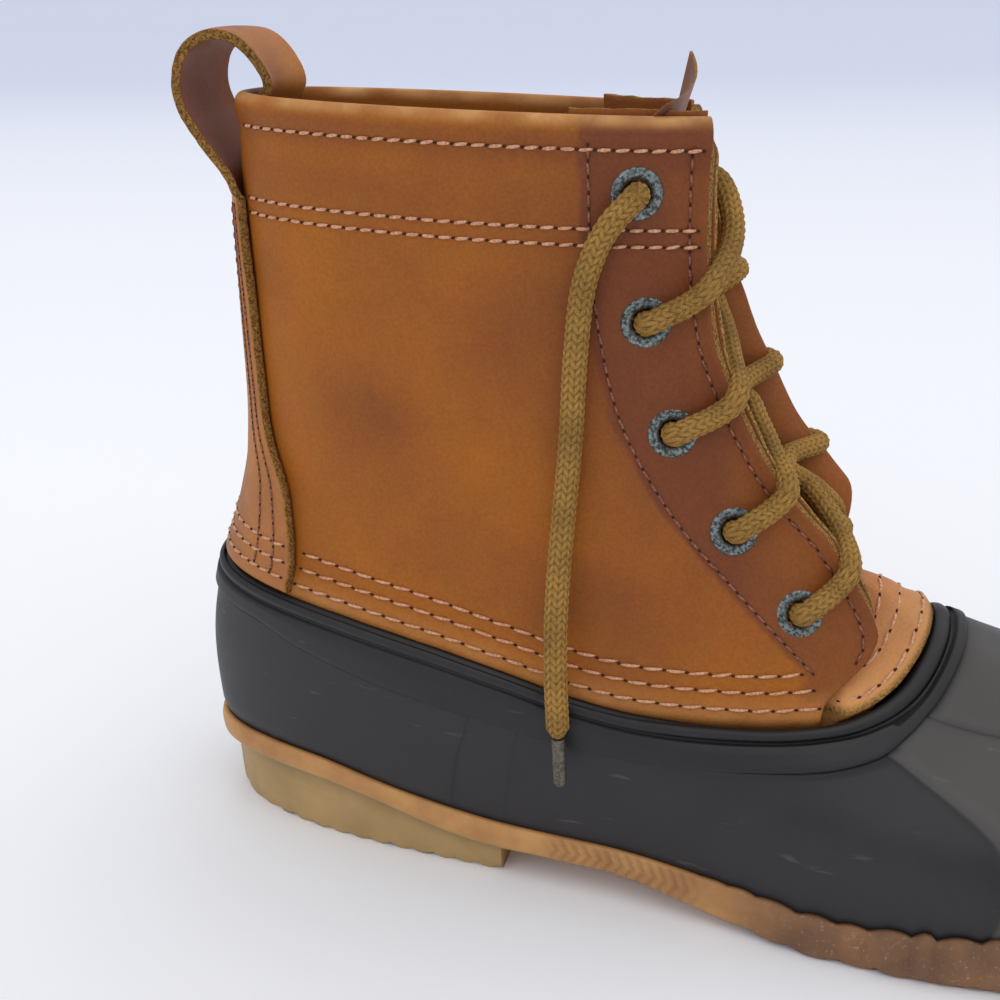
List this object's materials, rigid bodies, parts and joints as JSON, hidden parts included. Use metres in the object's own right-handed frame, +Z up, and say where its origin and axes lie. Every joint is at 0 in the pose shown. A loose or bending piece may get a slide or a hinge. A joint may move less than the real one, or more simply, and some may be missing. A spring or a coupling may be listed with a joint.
{
  "type": "duck boot",
  "caption": "Right duck boot: leather lace-up shaft with back strap and pull loop, moulded rubber lower, and gum rubber outsole with a low heel.",
  "frame": {"origin": "on the floor under the middle of the heel", "axes": "+X towards the toe, +Y towards the inner side of the foot, +Z up"},
  "size_m": [0.3021, 0.1003, 0.2067],
  "materials": {
    "gum_rubber": "matt moulded gum rubber",
    "black_rubber": "satin moulded rubber",
    "insole_felt": "brushed felt",
    "oiled_leather": "oiled full-grain leather",
    "tongue_leather": "smooth leather with raw edges",
    "strap_leather": "smooth leather with raw edges",
    "eyelet_metal": "antique plated brass",
    "lace_cord": "braided round lace",
    "aglet_metal": "crimped metal tip"
  },
  "bodies": {
    "root": {"outsole": "gum_rubber", "rubber_shell": "black_rubber", "insole": "insole_felt", "leather_shaft": "oiled_leather", "tongue": "tongue_leather", "back_strap": "strap_leather", "lace_crossings": "lace_cord", "lace_end_lateral": "lace_cord", "lace_end_medial": "lace_cord", "aglet_lateral": "aglet_metal", "aglet_medial": "aglet_metal", "eyelet_lateral_1": "eyelet_metal", "eyelet_lateral_2": "eyelet_metal", "eyelet_lateral_3": "eyelet_metal", "eyelet_lateral_4": "eyelet_metal", "eyelet_lateral_5": "eyelet_metal", "eyelet_medial_1": "eyelet_metal", "eyelet_medial_2": "eyelet_metal", "eyelet_medial_3": "eyelet_metal", "eyelet_medial_4": "eyelet_metal", "eyelet_medial_5": "eyelet_metal"}
  },
  "joints": []
}
